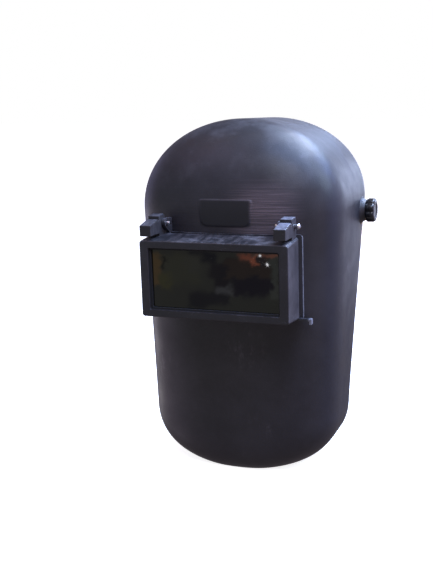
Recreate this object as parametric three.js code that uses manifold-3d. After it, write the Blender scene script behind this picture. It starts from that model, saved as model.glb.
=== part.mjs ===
// Welding helmet: a moulded shell with a flip-up lens box, and the headgear it tilts on.
// Millimetres, +Z up, the face looks along -Y, the wearer's left ear is at +X.
// The origin is on the floor under the middle of the part's bounding box.
import * as THREE from 'three';
import * as BufferGeometryUtils from 'three/addons/utils/BufferGeometryUtils.js';
import Module from 'manifold-3d';

const wasm = await Module();
wasm.setup();

// Driving dimensions: the shell
const shellHeight = 303;        // floor to crown, before its fall is taken off
const shellWidth = 180;         // across the temples
const jawWidth = 169;           // across the cheeks, where the jaw starts to round under
const crownDepth = 132;         // brow to rear edge, at the temples
const frontDepth = 52.5;        // how deep the bowed front is before the sides run straight
const domeRise = 77;            // height of the domed crown
const jawRise = 50.5;           // height of the rounded jaw
const crownFall = 4.4;          // how much lower the crown is at its rear edge
const crownFront = 16;          // depth at which the crown starts to fall
const wall = 3;                 // shell wall
const frontPower = 2.87;        // 2 is a round bow, more is flatter in front and squarer beside
const domePower = 2.07;         // the same for the dome, seen from in front
const jawPower = 2.42;          // the same for the jaw, seen from in front
const chinPower = 4.3;          // the same for the chin, seen from the side
const jawReach = 1.1;           // the jaw curve runs on this far before it is cut off flat
const sideCurve = 312;          // the sides draw in along an ellipse this long

// Driving dimensions: the lens box and what carries it
const boxWidth = 128;
const boxHeight = 64;
const boxDepth = 28.5;
const boxBottom = 143.5;        // height of the box's lower edge
const boxWall = 2.6;
const boxCorner = 2.5;          // corner radius of the box
const boxFlare = 2.2;           // the box is this much higher at its back, above and below
const boxPlay = 0.5;            // air between the closed box and its frame
const frontRim = 7.5;           // border of the box's front, beside the opening
const frontSill = 6.2;          // the same above and below it
const frontStep = 3;            // depth of the opening's outer step
const lipWidth = 1.5;           // the inner step stands this far into the opening
const lipThickness = 1.7;
const glassLap = 3;             // how far the rims cover the filter glass
const glassThickness = 3;
const retainerDepth = 6;        // retainer behind the glass
const mountThickness = 2.6;     // fixed frame, where it follows the shell
const mountMargin = 0.5;        // it stands out past the box by this
const mountRimWall = 2.2;       // raised rim that reaches into the box
const mountRimReach = 3;        // how far it reaches
const mountRimAir = 2;          // air round it inside the box
const mountRimTopAir = 2.8;     // the same above it, for the box's swing
const coverThickness = 2;       // clear cover lens
const coverLap = 3.2;           // how far the shell's window edge covers it
const armWidth = 10;            // hinge arms above the box
const armHeight = 9;            // at the arm's nose
const armLift = 3.5;            // air between an arm's nose and the box's top
const armRamp = 3.2;            // the arm's top climbs this much to its groove
const armReach = 1;             // the arm's nose stands this far in front of the box
const armInset = 1.5;           // the arm's outer side, in from the box's side
const armGroove = 1.3;          // width of the groove across the arm, in front of its cap
const armGrooveBack = 7.8;      // groove's back edge, in front of the hinge axis
const armCapRise = 7.2;         // top of the cap over the pin, above the hinge axis
const armHeel = 4;              // arm's back end, behind the hinge axis
const webLength = 12;           // foot that joins an arm to the box
const pinDiameter = 3.2;
const pinHeight = 11.5;         // hinge axis above the box's front top edge
const pinBack = 24;             // hinge axis behind the box's front
const pinOverhang = 3;          // pin end beyond its lug
const pinCollar = 2.2;          // length of the pin's collar, between the arm and the head
const pinHeadDiameter = 5;
const pinHeadLength = 2.4;
const pinPlay = 0.3;            // between the pin and the holes it passes
const lugThickness = 3.2;
const lugRadius = 4;
const lugFoot = 5;              // how far a lug's foot runs down the fixed frame
const tabLength = 9;            // lower corner tabs, beyond the box's side
const tabRoot = 8;
const tabDepth = 4.7;           // front to back
const tabThickness = 1.8;
const tabTip = 4.5;             // bent end of a tab, downwards

// Driving dimensions: the bare pad on the brow
const padWidth = 48;
const padFootWidth = 42;
const padHeight = 22;
const padBottom = 216;          // height of its lower edge
const padCorner = 5;
const padRise = 0.6;

// Driving dimensions: the headgear
const pivotBelowCrown = 87;     // tilt axis below the crown's full height
const pivotInset = 13;          // tilt axis in front of the rear edge
const bossRise = 5;             // moulded boss outside the shell
const bossDiameter = 17.5;
const bossFoot = 24;
const knobDiameter = 21.5;
const knobLength = 7.6;
const knobBevel = 1;
const knobLobes = 8;
const knobLobeDepth = 1.3;
const knobCap = 2.4;            // solid outer end of the knob
const studDiameter = 8;
const bandLength = 194;
const bandHeight = 22;
const bandThickness = 2.2;
const bandBelowPivot = 12;      // lower edge of the headband below the tilt axis
const strapWidth = 20;
const strapThickness = 1.8;
const strapLap = 9;             // the strap's ends inside the headband, below the tilt axis
const crownClearance = 6;       // air between the crown strap and the shell
const armPlateThickness = 3;    // side arms between the headband and the shell
const armPlateRadius = 10;
const armPlateReach = 34;       // from the tilt axis to the arm's front end
const armPlateFoot = 7;         // radius of that front end
const adjusterWidth = 62;
const adjusterHeight = 25;
const adjusterDepth = 8;
const adjusterWrap = 5;         // how far its ends reach forward round the band
const adjusterCorner = 6;
const adjusterKnobDiameter = 36;
const adjusterKnobDepth = 12;

const gap = 0.3;                // between pieces that touch

const frontCentre = frontDepth; // y where the bowed front ends and the sides begin
const domeFoot = shellHeight - domeRise;
const pivotHeight = shellHeight - pivotBelowCrown;

// Mesh and solid helpers

function toSolid(geometry) {
  const bare = geometry.clone();
  bare.deleteAttribute('normal');
  bare.deleteAttribute('uv');
  const merged = BufferGeometryUtils.mergeVertices(bare.index ? bare.toNonIndexed() : bare, 1e-4);
  return new wasm.Manifold(new wasm.Mesh({
    numProp: 3,
    vertProperties: Float32Array.from(merged.attributes.position.array),
    triVerts: Uint32Array.from(merged.index.array),
  }));
}

function toGeometry(solid) {
  const mesh = solid.getMesh();
  const geometry = new THREE.BufferGeometry();
  geometry.setAttribute('position', new THREE.BufferAttribute(Float32Array.from(mesh.vertProperties), 3));
  geometry.setIndex(Array.from(mesh.triVerts));
  geometry.computeVertexNormals();
  return geometry;
}

function block(x0, x1, y0, y1, z0, z1) {
  const geometry = new THREE.BoxGeometry(x1 - x0, y1 - y0, z1 - z0);
  geometry.translate((x0 + x1) / 2, (y0 + y1) / 2, (z0 + z1) / 2);
  return toSolid(geometry);
}

// A round rod along X, from x0 to x1, whose ends may differ in radius
function rodAlongX(x0, x1, y, z, radius0, radius1 = radius0, sides = 24) {
  const geometry = new THREE.CylinderGeometry(radius1, radius0, x1 - x0, sides);
  geometry.rotateZ(-Math.PI / 2);
  geometry.translate((x0 + x1) / 2, y, z);
  return toSolid(geometry);
}

// An outline drawn in x and z, given depth from y0 back to y1
function slabAlongY(shape, y0, y1, curveSegments = 6) {
  const geometry = new THREE.ExtrudeGeometry(shape, { depth: y1 - y0, bevelEnabled: false, curveSegments });
  geometry.rotateX(Math.PI / 2);
  geometry.translate(0, y1, 0);
  return toSolid(geometry);
}

// An outline drawn in y and z, given width from x0 to x1
function slabAlongX(shape, x0, x1, curveSegments = 6) {
  const geometry = new THREE.ExtrudeGeometry(shape, { depth: x1 - x0, bevelEnabled: false, curveSegments });
  geometry.applyMatrix4(new THREE.Matrix4().makeBasis(
    new THREE.Vector3(0, 1, 0), new THREE.Vector3(0, 0, 1), new THREE.Vector3(1, 0, 0)));
  geometry.translate(x0, 0, 0);
  return toSolid(geometry);
}

function roundedRectangle(x0, x1, z0, z1, radius) {
  const shape = new THREE.Shape();
  shape.moveTo(x0 + radius, z0);
  shape.lineTo(x1 - radius, z0);
  shape.absarc(x1 - radius, z0 + radius, radius, -Math.PI / 2, 0);
  shape.lineTo(x1, z1 - radius);
  shape.absarc(x1 - radius, z1 - radius, radius, 0, Math.PI / 2);
  shape.lineTo(x0 + radius, z1);
  shape.absarc(x0 + radius, z1 - radius, radius, Math.PI / 2, Math.PI);
  shape.lineTo(x0, z0 + radius);
  shape.absarc(x0 + radius, z0 + radius, radius, Math.PI, 1.5 * Math.PI);
  return shape;
}

// The shell's outer surface

const crownEnd = 0.9992;        // the crown is a narrow ridge, this share of the dome's curve up

// The part of its full width or depth that a curve of this power has left at a share of its run
function falloff(share, power) {
  return (1 - Math.min(1, Math.max(0, share)) ** power) ** (1 / power);
}

// Half width, front depth and squareness of the level section at height z
function levelSection(z) {
  const cheekShare = THREE.MathUtils.clamp((z - jawRise) / (domeFoot - jawRise), 0, 1);
  const domeShare = crownEnd * (z - domeFoot) / domeRise;
  const jawShare = (jawRise - z) / (jawRise * jawReach);
  const widthLeft = falloff(domeShare, domePower) * falloff(jawShare, jawPower);
  const halfWidth = (jawWidth + (shellWidth - jawWidth) * cheekShare) / 2 * widthLeft;
  const depth = frontDepth * falloff(domeShare, 2) * falloff(jawShare, chinPower);
  return { halfWidth, depth, power: 2 + (frontPower - 2) * widthLeft, domeShare: Math.max(0, domeShare) };
}

// Half width at height z and depth y, behind the bowed front
function sideHalfWidth(section, y) {
  return section.halfWidth * Math.sqrt(1 - ((y - frontCentre) / sideCurve) ** 2);
}

// Depth of the bowed front at height z, an amount x to one side
function faceDepth(z, x) {
  const section = levelSection(z);
  return frontCentre - section.depth * falloff(x / section.halfWidth, section.power);
}

// One level section as a ring of points, open at the back until the rear edge is cut
function sectionRing(z, backY, frontSteps, sideSteps) {
  const section = levelSection(z);
  const points = [];
  for (let i = 0; i < sideSteps; i += 1) {
    const y = backY + (frontCentre - backY) * i / sideSteps;
    points.push([sideHalfWidth(section, y), y]);
  }
  for (let i = 0; i <= frontSteps; i += 1) {
    const angle = Math.PI * i / frontSteps;
    const across = Math.cos(angle);
    const forward = Math.max(0, Math.sin(angle));
    points.push([
      section.halfWidth * Math.sign(across) * Math.abs(across) ** (2 / section.power),
      frontCentre - section.depth * forward ** (2 / section.power),
    ]);
  }
  for (let i = sideSteps - 1; i >= 0; i -= 1) points.push([-points[i][0], points[i][1]]);
  return points.map(([x, y]) => {
    const backShare = THREE.MathUtils.clamp((y - crownFront) / (crownDepth - crownFront), 0, 1);
    return new THREE.Vector3(x, y, z - crownFall * backShare * section.domeShare);
  });
}

const frontSteps = 28;
const sideSteps = 3;
const jawSteps = 8;
const cheekSteps = 2;
const domeSteps = 12;

function sectionHeights() {
  const heights = [];
  for (let i = 0; i < jawSteps; i += 1) {
    heights.push(jawRise * (1 - Math.cos(Math.PI / 2 * i / jawSteps)));
  }
  for (let i = 0; i < cheekSteps; i += 1) heights.push(jawRise + (domeFoot - jawRise) * i / cheekSteps);
  for (let i = 0; i <= domeSteps; i += 1) {
    heights.push(domeFoot + domeRise * Math.sin(Math.PI / 2 * i / domeSteps));
  }
  return heights;
}

// The shell's full form, grown outwards by an amount, or shrunk where it is negative
function shellForm(growth) {
  const backY = crownDepth + 25;
  const rings = sectionHeights().map((z) => sectionRing(z, backY, frontSteps, sideSteps));
  const rows = rings.length;
  const columns = rings[0].length;
  const grown = rings.map((ring, r) => ring.map((point, c) => {
    const [before, after] = [ring[Math.max(c - 1, 0)], ring[Math.min(c + 1, columns - 1)]];
    const [below, above] = [rings[Math.max(r - 1, 0)][c], rings[Math.min(r + 1, rows - 1)][c]];
    const along = new THREE.Vector3().subVectors(after, before);
    const up = new THREE.Vector3().subVectors(above, below);
    const normal = new THREE.Vector3().crossVectors(up, along).normalize();
    return point.clone().addScaledVector(normal, growth);
  }));
  const positions = [];
  const triangle = (a, b, c) => positions.push(...a.toArray(), ...b.toArray(), ...c.toArray());
  for (let r = 0; r < rows - 1; r += 1) {
    for (let c = 0; c < columns; c += 1) {
      const next = (c + 1) % columns;
      triangle(grown[r][c], grown[r + 1][c], grown[r][next]);
      triangle(grown[r][next], grown[r + 1][c], grown[r + 1][next]);
    }
  }
  for (let c = 1; c < columns - 1; c += 1) {
    triangle(grown[0][0], grown[0][c], grown[0][c + 1]);
    triangle(grown[rows - 1][0], grown[rows - 1][c + 1], grown[rows - 1][c]);
  }
  const geometry = new THREE.BufferGeometry();
  geometry.setAttribute('position', new THREE.Float32BufferAttribute(positions, 3));
  return toSolid(geometry);
}

// The shell

// The rear edge, seen from the side: shares of the shell's height and of its crown depth
const rearEdgeTable = [
  { height: 0.00, depth: 0.615 },
  { height: 0.17, depth: 0.625 },
  { height: 0.40, depth: 0.745 },
  { height: 0.60, depth: 0.880 },
  { height: 0.69, depth: 0.945 },
  { height: 0.76, depth: 0.990 },
  { height: 0.84, depth: 1.000 },
  { height: 1.00, depth: 0.975 },
];
const rearEdgeRows = rearEdgeTable.map(
  (row) => new THREE.Vector2(row.depth * crownDepth, row.height * shellHeight));
const rearEdgeSteps = 28;
const rearEdge = new THREE.SplineCurve(rearEdgeRows).getPoints(rearEdgeSteps);

// Depth of the rear edge at height z
function rearDepth(z) {
  const above = Math.max(1, rearEdge.findIndex((point) => point.y >= z));
  const [low, high] = [rearEdge[above - 1], rearEdge[above]];
  return THREE.MathUtils.mapLinear(z, low.y, high.y, low.x, high.x);
}

const pivotY = rearDepth(pivotHeight) - pivotInset;
const sideAtPivot = sideHalfWidth(levelSection(pivotHeight), pivotY);
const bossFace = sideAtPivot + bossRise;

function behindRearEdge() {
  const past = 20;
  const shape = new THREE.Shape();
  shape.moveTo(2 * crownDepth, -past);
  shape.lineTo(2 * crownDepth, shellHeight + past);
  shape.lineTo(rearEdge.at(-1).x, shellHeight + past);
  for (const point of [...rearEdge].reverse()) shape.lineTo(point.x, point.y);
  shape.lineTo(rearEdge[0].x, -past);
  return slabAlongX(shape, -shellWidth, shellWidth);
}

// The neck opening, cut straight up through the rounded jaw and leaving a flat rim as wide as the wall
function neckOpening() {
  const ring = sectionRing(0, 2 * crownDepth, frontSteps, sideSteps);
  const shape = new THREE.Shape(ring.map((point, i) => {
    const before = ring[Math.max(i - 1, 0)];
    const after = ring[Math.min(i + 1, ring.length - 1)];
    const inward = new THREE.Vector2(after.y - before.y, before.x - after.x).normalize();
    return new THREE.Vector2(point.x + inward.x * wall, point.y + inward.y * wall);
  }));
  const geometry = new THREE.ExtrudeGeometry(shape, { depth: 3 * wall, bevelEnabled: false });
  geometry.translate(0, 0, -wall);
  return toSolid(geometry);
}

const boxTop = boxBottom + boxHeight;
const windowHalfWidth = boxWidth / 2 - boxWall - mountRimAir - mountRimWall - coverLap;
const coverBottom = boxBottom + boxWall + mountRimAir + mountRimWall;
const coverTop = boxTop - boxWall - mountRimTopAir - mountRimWall;
const windowBottom = coverBottom + coverLap;
const windowTop = coverTop - coverLap;

function windowShape() {
  return roundedRectangle(-windowHalfWidth, windowHalfWidth, windowBottom, windowTop, 2 * boxCorner);
}

function browPad() {
  const shape = new THREE.Shape();
  const top = padBottom + padHeight;
  const half = padWidth / 2;
  const footHalf = padFootWidth / 2;
  const flare = padCorner / 4;
  shape.moveTo(-footHalf + padCorner, padBottom);
  shape.lineTo(footHalf - padCorner, padBottom);
  shape.quadraticCurveTo(footHalf, padBottom, footHalf + flare, padBottom + padCorner);
  shape.lineTo(half, top - padCorner / 2);
  shape.quadraticCurveTo(half, top, half - padCorner / 2, top);
  shape.lineTo(-half + padCorner / 2, top);
  shape.quadraticCurveTo(-half, top, -half, top - padCorner / 2);
  shape.lineTo(-footHalf - flare, padBottom + padCorner);
  shape.quadraticCurveTo(-footHalf, padBottom, -footHalf + padCorner, padBottom);
  return slabAlongY(shape, -padRise - wall, frontDepth / 2).intersect(shellForm(padRise));
}

function shell() {
  let body = shellForm(0).add(browPad());
  for (const side of [-1, 1]) {
    const ends = [side * (sideAtPivot - wall), side * bossFace];
    const radii = [bossFoot / 2, bossDiameter / 2];
    if (side < 0) {
      ends.reverse();
      radii.reverse();
    }
    body = body.add(rodAlongX(...ends, pivotY, pivotHeight, ...radii));
  }
  const studHole = rodAlongX(-2 * shellWidth, 2 * shellWidth, pivotY, pivotHeight, studDiameter / 2 + gap);
  return body
    .subtract(shellForm(-wall))
    .subtract(behindRearEdge())
    .subtract(neckOpening())
    .subtract(slabAlongY(windowShape(), -boxDepth, frontDepth))
    .subtract(studHole);
}

// The fixed frame, the hinge and the flip-up box

const mountFront = -gap - mountThickness;
const boxBack = mountFront - boxPlay;
const boxFront = boxBack - boxDepth;
const pinY = boxFront + pinBack;
const pinZ = boxTop + pinHeight;
const armOuter = boxWidth / 2 - armInset;
const armInner = armOuter - armWidth;
const lugInner = armInner - gap - lugThickness;
const coverHalfWidth = windowHalfWidth + coverLap;
const coverFront = boxBack - mountRimReach + gap;
const coverBack = coverFront + coverThickness;
const frameTop = boxTop + boxFlare + mountMargin;
const frameBottom = boxBottom - boxFlare - tabThickness;
const roundSides = 16;

// The same solid at both sides of the part
function bothSides(solid) {
  return solid.add(solid.mirror([1, 0, 0]));
}

function pinHole() {
  return rodAlongX(-shellWidth, shellWidth, pinY, pinZ, pinDiameter / 2 + pinPlay, undefined, roundSides);
}

// A lug stands on the fixed frame at an arm's inner side and holds the pin
function hingeLug() {
  const lugOuter = armInner - gap;
  const eye = rodAlongX(lugInner, lugOuter, pinY, pinZ, lugRadius, undefined, roundSides);
  const root = block(
    lugInner, lugOuter, mountFront, frontDepth / 4, frameTop + gap, pinZ + lugRadius / 2);
  const foot = block(
    lugInner, lugOuter, mountFront, frontDepth / 4, frameTop - lugFoot, pinZ);
  return wasm.Manifold.hull([eye, root]).add(foot);
}

function lensMount() {
  const edge = boxWidth / 2 + mountMargin;
  const plateOutline = roundedRectangle(-edge, edge, frameBottom, frameTop, boxCorner);
  const plate = slabAlongY(plateOutline, mountFront, frontDepth / 2);
  const rim = block(
    -coverHalfWidth - mountRimWall, coverHalfWidth + mountRimWall, coverFront - gap, frontDepth / 4,
    coverBottom - mountRimWall, coverTop + mountRimWall);
  const tabEnd = boxWidth / 2 + tabLength;
  const tabTop = frameBottom + tabThickness;
  const tabStart = boxWidth / 2 - tabRoot;
  const tabBack = faceDepth(frameBottom, tabStart) - 2 * gap;
  const tabFront = tabBack - tabDepth;
  const tab = block(tabStart, tabEnd, tabFront, tabBack, frameBottom, tabTop);
  const tip = block(tabEnd - tabThickness, tabEnd, tabFront, tabBack, tabTop - tabTip, tabTop);
  const skin = shellForm(gap + mountThickness);
  const seat = shellForm(gap);
  const pocket = block(
    -coverHalfWidth - gap, coverHalfWidth + gap, boxFront, coverBack + gap,
    coverBottom - gap, coverTop + gap);
  return plate.intersect(skin)
    .add(rim)
    .add(bothSides(hingeLug().add(tab).add(tip)))
    .subtract(seat)
    .subtract(pocket)
    .subtract(slabAlongY(windowShape(), boxFront, frontDepth))
    .subtract(pinHole());
}

function coverLens() {
  return block(-coverHalfWidth, coverHalfWidth, coverFront, coverBack, coverBottom, coverTop);
}

const openingHalfWidth = boxWidth / 2 - frontRim;
const openingBottom = boxBottom + frontSill;
const openingTop = boxTop - frontSill;
const glassFront = boxFront + frontStep + lipThickness + gap;
const glassBack = glassFront + glassThickness;

function glassOutline(growth) {
  return roundedRectangle(
    -openingHalfWidth + lipWidth - glassLap - growth, openingHalfWidth - lipWidth + glassLap + growth,
    openingBottom + lipWidth - glassLap - growth, openingTop - lipWidth + glassLap + growth, boxCorner / 2);
}

function filterGlass() {
  return slabAlongY(glassOutline(0), glassFront, glassBack, 2);
}

function boxCavity(y0, y1, clearance) {
  const inset = boxWall + clearance;
  const outline = roundedRectangle(
    -boxWidth / 2 + inset, boxWidth / 2 - inset, boxBottom + inset, boxTop - inset, boxCorner / 2);
  return slabAlongY(outline, y0, y1, 3);
}

function glassRetainer() {
  const opening = roundedRectangle(
    -openingHalfWidth + 2 * lipWidth, openingHalfWidth - 2 * lipWidth,
    openingBottom + 2 * lipWidth, openingTop - 2 * lipWidth, boxCorner);
  return boxCavity(glassFront, glassBack + retainerDepth, gap)
    .subtract(slabAlongY(glassOutline(gap), boxFront, glassBack + gap, 2))
    .subtract(slabAlongY(opening, boxFront, boxBack));
}

// A form from y0 back to y1 that follows the box's flare, in from its sides by an amount
function flaredForm(y0, y1, inset, radius, curveSegments) {
  const sliver = 0.01;
  const ends = [[y0, y0 + sliver], [y1 - sliver, y1]].map(([front, back]) => {
    const flare = boxFlare * (front - boxFront) / boxDepth;
    const outline = roundedRectangle(
      -boxWidth / 2 + inset, boxWidth / 2 - inset,
      boxBottom - flare + inset, boxTop + flare - inset, radius);
    return slabAlongY(outline, front, back, curveSegments);
  });
  return wasm.Manifold.hull(ends);
}

// A hinge arm: a nose that climbs to a groove, a cap over the pin, and a foot on the box's top
function hingeArm() {
  const armBottom = boxTop + armLift;
  const [nose, heel] = [boxFront - armReach, pinY + armHeel];
  const [footFront, grooveBack] = [boxBack - webLength, pinY - armGrooveBack];
  const rampTop = armBottom + armHeight + armRamp;
  const capTop = pinZ + armCapRise;
  const shape = new THREE.Shape();
  shape.moveTo(nose, armBottom);
  shape.lineTo(footFront, armBottom);
  shape.lineTo(footFront, boxTop - boxWall / 2);
  shape.lineTo(heel, boxTop);
  shape.lineTo(heel, capTop - armGroove);
  shape.quadraticCurveTo(heel, capTop, heel - armGroove, capTop);
  shape.lineTo(grooveBack, capTop - armGroove / 2);
  shape.lineTo(grooveBack, rampTop - armGroove);
  shape.lineTo(grooveBack - armGroove, rampTop - armGroove);
  shape.lineTo(grooveBack - armGroove, rampTop);
  shape.lineTo(nose, armBottom + armHeight);
  return slabAlongX(shape, armInner, armOuter);
}

function lensBox() {
  const step = roundedRectangle(
    -openingHalfWidth, openingHalfWidth, openingBottom, openingTop, boxCorner / 2);
  const lip = roundedRectangle(
    -openingHalfWidth + lipWidth, openingHalfWidth - lipWidth,
    openingBottom + lipWidth, openingTop - lipWidth, boxCorner / 2);
  return flaredForm(boxFront, boxBack, 0, boxCorner, 6)
    .add(bothSides(hingeArm()))
    .subtract(flaredForm(glassFront - gap, boxBack + boxPlay, boxWall, boxCorner / 2, 3))
    .subtract(slabAlongY(step, boxFront - boxDepth, boxFront + frontStep))
    .subtract(slabAlongY(lip, boxFront, glassFront))
    .subtract(pinHole());
}

function hingePin() {
  const collarStart = armOuter + gap;
  const headStart = collarStart + pinCollar;
  const collarRadius = (pinDiameter + pinHeadDiameter) / 4;
  const rod = rodAlongX(
    lugInner - pinOverhang, collarStart, pinY, pinZ, pinDiameter / 2, undefined, roundSides);
  const collar = rodAlongX(collarStart, headStart, pinY, pinZ, collarRadius, undefined, roundSides);
  const head = rodAlongX(
    headStart, headStart + pinHeadLength, pinY, pinZ, pinHeadDiameter / 2, pinDiameter / 2, roundSides);
  return rod.add(collar).add(head);
}

// The headgear, which tilts on studs through the shell's bosses

const armPlateOuter = sideHalfWidth(levelSection(pivotHeight), pivotY + armPlateRadius) - wall - 2 * gap;
const bandHalfWidth = armPlateOuter - armPlateThickness - gap;
const bandBottom = pivotHeight - bandBelowPivot;

// A level oval round the head, grown outwards by an amount
function headOval(growth) {
  const shape = new THREE.Shape();
  shape.absellipse(0, pivotY, bandHalfWidth + growth, bandLength / 2 + growth, 0, 2 * Math.PI);
  return shape;
}

function levelSlab(shape, z0, z1, curveSegments) {
  const geometry = new THREE.ExtrudeGeometry(shape, { depth: z1 - z0, bevelEnabled: false, curveSegments });
  geometry.translate(0, 0, z0);
  return toSolid(geometry);
}

const ovalSegments = 30;

function headband() {
  const top = bandBottom + bandHeight;
  return levelSlab(headOval(0), bandBottom, top, ovalSegments)
    .subtract(levelSlab(headOval(-bandThickness), bandBottom - 1, top + 1, ovalSegments));
}

function crownStrap() {
  const spread = (strapWidth / 2) / (bandLength / 2 - bandThickness);
  const halfWidth = (bandHalfWidth - bandThickness) * Math.sqrt(1 - spread ** 2) - 2 * gap;
  const crownInside = shellHeight - wall - crownFall;
  const rise = crownInside - crownClearance - pivotHeight;
  const arch = (inset) => {
    const shape = new THREE.Shape();
    const foot = pivotHeight - strapLap - inset;
    shape.moveTo(halfWidth - inset, foot);
    shape.lineTo(halfWidth - inset, pivotHeight);
    shape.absellipse(0, pivotHeight, halfWidth - inset, rise - inset, 0, Math.PI);
    shape.lineTo(-halfWidth + inset, foot);
    return slabAlongY(shape, pivotY - strapWidth / 2 - inset, pivotY + strapWidth / 2 + inset, 28);
  };
  return arch(0).subtract(arch(strapThickness));
}

function sideArm() {
  const plateInner = armPlateOuter - armPlateThickness;
  const reachY = pivotY - armPlateReach;
  const rear = rodAlongX(plateInner, armPlateOuter, pivotY, pivotHeight, armPlateRadius);
  const front = rodAlongX(plateInner, armPlateOuter, reachY, pivotHeight, armPlateFoot);
  const bar = block(
    plateInner, armPlateOuter, reachY, pivotY, pivotHeight - armPlateFoot, pivotHeight + armPlateFoot);
  const studEnd = bossFace + gap + knobLength - knobCap - gap;
  const stud = rodAlongX(armPlateOuter - gap, studEnd, pivotY, pivotHeight, studDiameter / 2);
  return rear.add(front).add(bar).add(stud);
}

function tiltKnob() {
  const shape = new THREE.Shape();
  const pointsPerLobe = 6;
  const count = knobLobes * pointsPerLobe;
  for (let i = 0; i < count; i += 1) {
    const angle = 2 * Math.PI * i / count;
    const dip = (0.5 + 0.5 * Math.cos(knobLobes * angle)) ** 2;
    const radius = knobDiameter / 2 - knobBevel - knobLobeDepth * dip;
    const [y, z] = [pivotY + radius * Math.cos(angle), pivotHeight + radius * Math.sin(angle)];
    if (i === 0) shape.moveTo(y, z);
    else shape.lineTo(y, z);
  }
  const geometry = new THREE.ExtrudeGeometry(shape, {
    depth: knobLength - 2 * knobBevel, bevelThickness: knobBevel, bevelSize: knobBevel, bevelSegments: 2,
  });
  geometry.applyMatrix4(new THREE.Matrix4().makeBasis(
    new THREE.Vector3(0, 1, 0), new THREE.Vector3(0, 0, 1), new THREE.Vector3(1, 0, 0)));
  geometry.translate(bossFace + gap + knobBevel, 0, 0);
  const boreEnd = bossFace + gap + knobLength - knobCap;
  const bore = rodAlongX(bossFace, boreEnd, pivotY, pivotHeight, studDiameter / 2 + gap);
  return toSolid(geometry).subtract(bore);
}

const bandRear = pivotY + bandLength / 2;
const adjusterBack = bandRear + gap + adjusterDepth;

function rearAdjuster() {
  const middle = bandBottom + bandHeight / 2;
  const [halfWidth, halfHeight] = [adjusterWidth / 2, adjusterHeight / 2];
  const outline = roundedRectangle(
    -halfWidth, halfWidth, middle - halfHeight, middle + halfHeight, adjusterCorner);
  const housing = slabAlongY(outline, bandRear - adjusterWrap, adjusterBack);
  const wheelShape = new THREE.Shape();
  wheelShape.absarc(0, middle, adjusterKnobDiameter / 2, 0, 2 * Math.PI);
  const wheel = slabAlongY(wheelShape, adjusterBack - 1, adjusterBack + adjusterKnobDepth, 16);
  return housing
    .subtract(levelSlab(headOval(gap), middle - adjusterHeight, middle + adjusterHeight, ovalSegments))
    .add(wheel);
}

// Materials and assembly

const shellPlastic = new THREE.MeshStandardMaterial({ color: 0x24232a, roughness: 0.55, metalness: 0 });
const frameNylon = new THREE.MeshStandardMaterial({ color: 0x2b2c33, roughness: 0.6, metalness: 0 });
const darkGlass = new THREE.MeshStandardMaterial({ color: 0x10130c, roughness: 0.05, metalness: 0 });
const clearPlate = new THREE.MeshStandardMaterial({
  color: 0xc8d0cc, roughness: 0.08, metalness: 0, transparent: true, opacity: 0.35 });
const steel = new THREE.MeshStandardMaterial({ color: 0xb9bcc2, roughness: 0.25, metalness: 1 });
const knobPlastic = new THREE.MeshStandardMaterial({ color: 0x0d0d10, roughness: 0.3, metalness: 0 });
const bandPlastic = new THREE.MeshStandardMaterial({ color: 0x1b1c20, roughness: 0.6, metalness: 0 });

const helmet = new THREE.Group();
const centreY = (boxFront - armReach + adjusterBack + adjusterKnobDepth) / 2;
helmet.position.y = -centreY;

function place(name, solid, material) {
  const mesh = new THREE.Mesh(toGeometry(solid), material);
  mesh.name = name;
  helmet.add(mesh);
}

function placePair(name, solid, material) {
  place(`${name}_left`, solid, material);
  place(`${name}_right`, solid.mirror([1, 0, 0]), material);
}

place('shell', shell(), shellPlastic);
place('lens_mount', lensMount(), frameNylon);
place('cover_lens', coverLens(), clearPlate);
place('lens_box', lensBox(), frameNylon);
place('filter_glass', filterGlass(), darkGlass);
place('glass_retainer', glassRetainer(), frameNylon);
placePair('hinge_pin', hingePin(), steel);
placePair('tilt_knob', tiltKnob(), knobPlastic);
placePair('side_arm', sideArm(), bandPlastic);
place('headband', headband(), bandPlastic);
place('crown_strap', crownStrap(), bandPlastic);
place('rear_adjuster', rearAdjuster(), knobPlastic);

export default helmet;
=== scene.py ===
import math

import bmesh
import bpy
import numpy as np
from mathutils import Matrix, Vector


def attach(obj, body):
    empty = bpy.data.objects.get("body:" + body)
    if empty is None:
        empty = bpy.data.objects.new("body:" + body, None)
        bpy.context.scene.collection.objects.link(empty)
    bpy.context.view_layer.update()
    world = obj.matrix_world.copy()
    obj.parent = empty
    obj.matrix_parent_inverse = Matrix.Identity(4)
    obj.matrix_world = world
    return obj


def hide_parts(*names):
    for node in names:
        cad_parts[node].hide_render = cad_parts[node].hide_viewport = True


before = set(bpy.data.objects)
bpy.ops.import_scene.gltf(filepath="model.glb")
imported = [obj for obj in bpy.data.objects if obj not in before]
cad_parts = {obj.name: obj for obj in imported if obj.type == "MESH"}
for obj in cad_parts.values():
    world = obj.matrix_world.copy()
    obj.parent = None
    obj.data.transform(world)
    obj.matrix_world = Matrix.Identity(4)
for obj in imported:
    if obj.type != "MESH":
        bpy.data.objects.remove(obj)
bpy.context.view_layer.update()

# Shell
# One deep sheet of black plastic, 3 mm thick, moulded in one piece: domed over the crown,
# rounded under the chin and open behind. It carries everything else. Sizes are in metres.

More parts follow.
